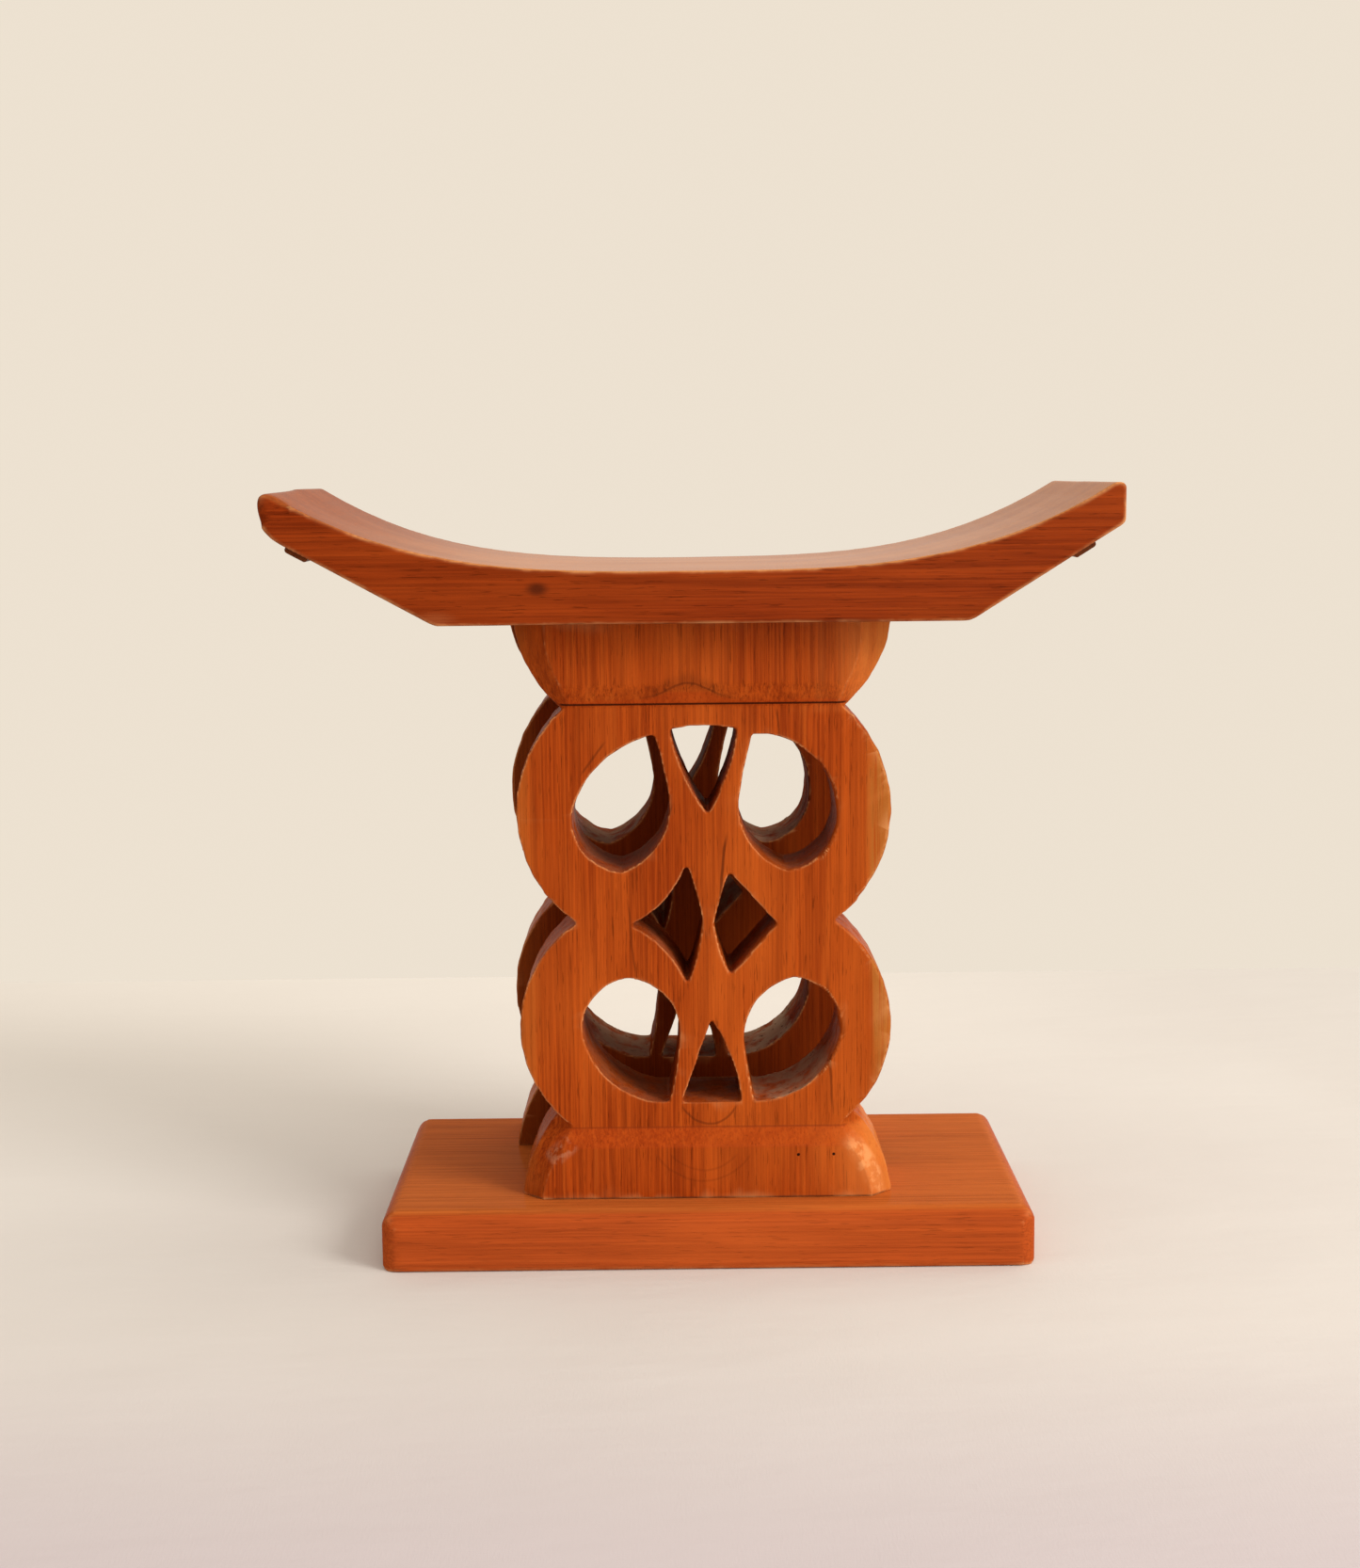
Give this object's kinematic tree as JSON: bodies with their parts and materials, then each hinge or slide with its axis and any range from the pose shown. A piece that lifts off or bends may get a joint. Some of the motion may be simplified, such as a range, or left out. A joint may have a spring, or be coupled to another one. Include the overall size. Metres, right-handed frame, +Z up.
{
  "type": "pedestal stool",
  "caption": "Low pedestal stool with a saddle-shaped plank seat on pierced upright boards and a flat rectangular base",
  "frame": {"origin": "on the floor, under the middle of the seat's length and depth, which is the bottom centre of the bounding box", "axes": "+X along the seat from its worn rounded end to its square end, +Y from the front board to the back board, +Z up"},
  "size_m": [0.446, 0.206, 0.4145],
  "materials": {
    "seat_wood": "red-brown hardwood, grain along the seat, worn satin varnish",
    "base_wood": "red-orange hardwood, grain along the base, satin varnish",
    "board_wood": "orange-brown hardwood, upright grain with pale sapwood edges, satin varnish",
    "cleat_wood": "dark stained hardwood",
    "dowel_wood": "plain pale hardwood, unfinished",
    "nail_steel": "dull wire nail"
  },
  "bodies": {
    "root": {"seat": "seat_wood", "base": "base_wood", "front_board": "board_wood", "back_board": "board_wood", "left_cleat": "cleat_wood", "right_cleat": "cleat_wood", "left_cleat_nails": "nail_steel", "right_cleat_nails": "nail_steel", "front_foot_dowel_left": "dowel_wood", "front_foot_dowel_right": "dowel_wood", "back_foot_dowel_left": "dowel_wood", "back_foot_dowel_right": "dowel_wood", "front_head_dowel_left": "dowel_wood", "front_head_dowel_right": "dowel_wood", "back_head_dowel_left": "dowel_wood", "back_head_dowel_right": "dowel_wood"}
  },
  "joints": []
}
